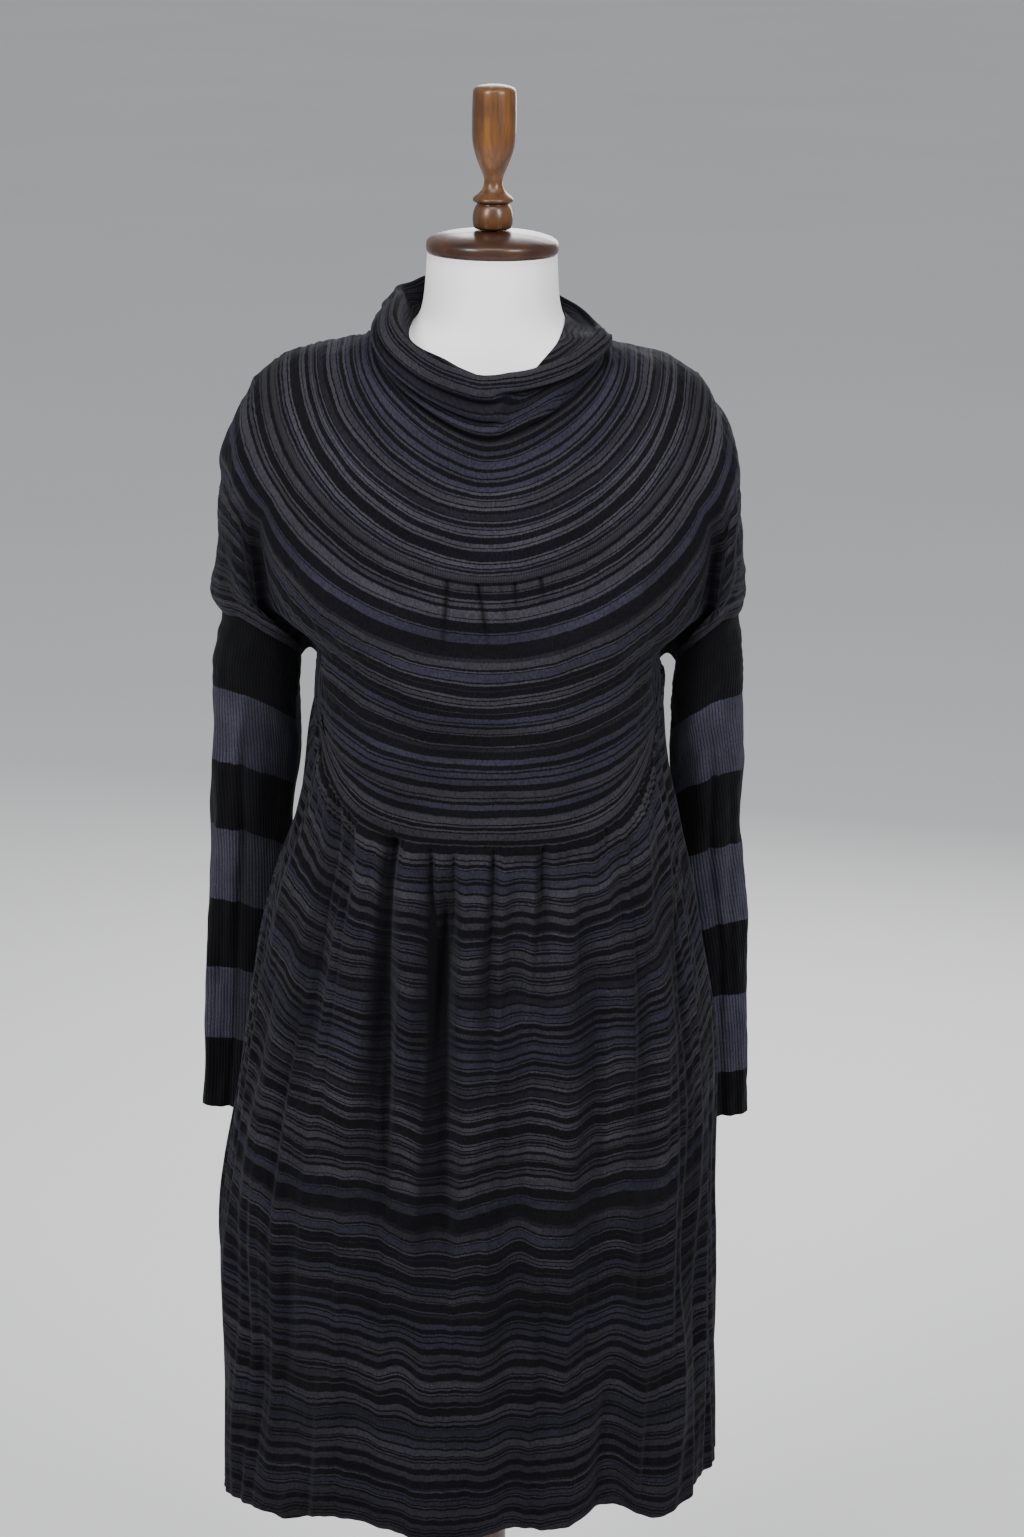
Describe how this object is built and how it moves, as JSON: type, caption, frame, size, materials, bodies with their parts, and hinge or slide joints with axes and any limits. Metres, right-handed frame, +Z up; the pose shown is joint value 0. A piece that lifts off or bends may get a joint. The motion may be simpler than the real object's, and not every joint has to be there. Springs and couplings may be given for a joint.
{
  "type": "knitted a-line dress on a limbless dress form with a wooden stand",
  "caption": "Striped knitted a-line dress with a round yoke, gathered skirt, long ribbed sleeves and soft collar, worn by a limbless dress form on a turned wooden stand.",
  "frame": {"origin": "Centre of the round base's flat underside, on the axis of the stand's column.", "axes": "+Z up along the column, -Y to the front of the dress, +X to the right of someone who looks at its front."},
  "size_m": [0.5143, 0.38, 1.646],
  "materials": {
    "striped_knit": "fine matt knit in uneven narrow stripes of black, charcoal, blue-grey and green-grey",
    "ribbed_knit": "fine ribbed knit in wide black and blue-grey bands",
    "form_cover": "smooth off-white jersey cover",
    "turned_wood": "brown stained and satin varnished turned wood",
    "dark_wood": "dark brown stained and satin varnished turned wood"
  },
  "bodies": {
    "root": {"collar": "striped_knit", "yoke_front": "striped_knit", "yoke_back": "striped_knit", "bodice_front": "striped_knit", "bodice_back": "striped_knit", "skirt_front": "striped_knit", "skirt_back": "striped_knit", "sleeve_left": "ribbed_knit", "sleeve_right": "ribbed_knit", "form_torso": "form_cover", "neck_cap": "dark_wood", "finial": "turned_wood", "stand_column": "dark_wood", "stand_base": "dark_wood"}
  },
  "joints": []
}
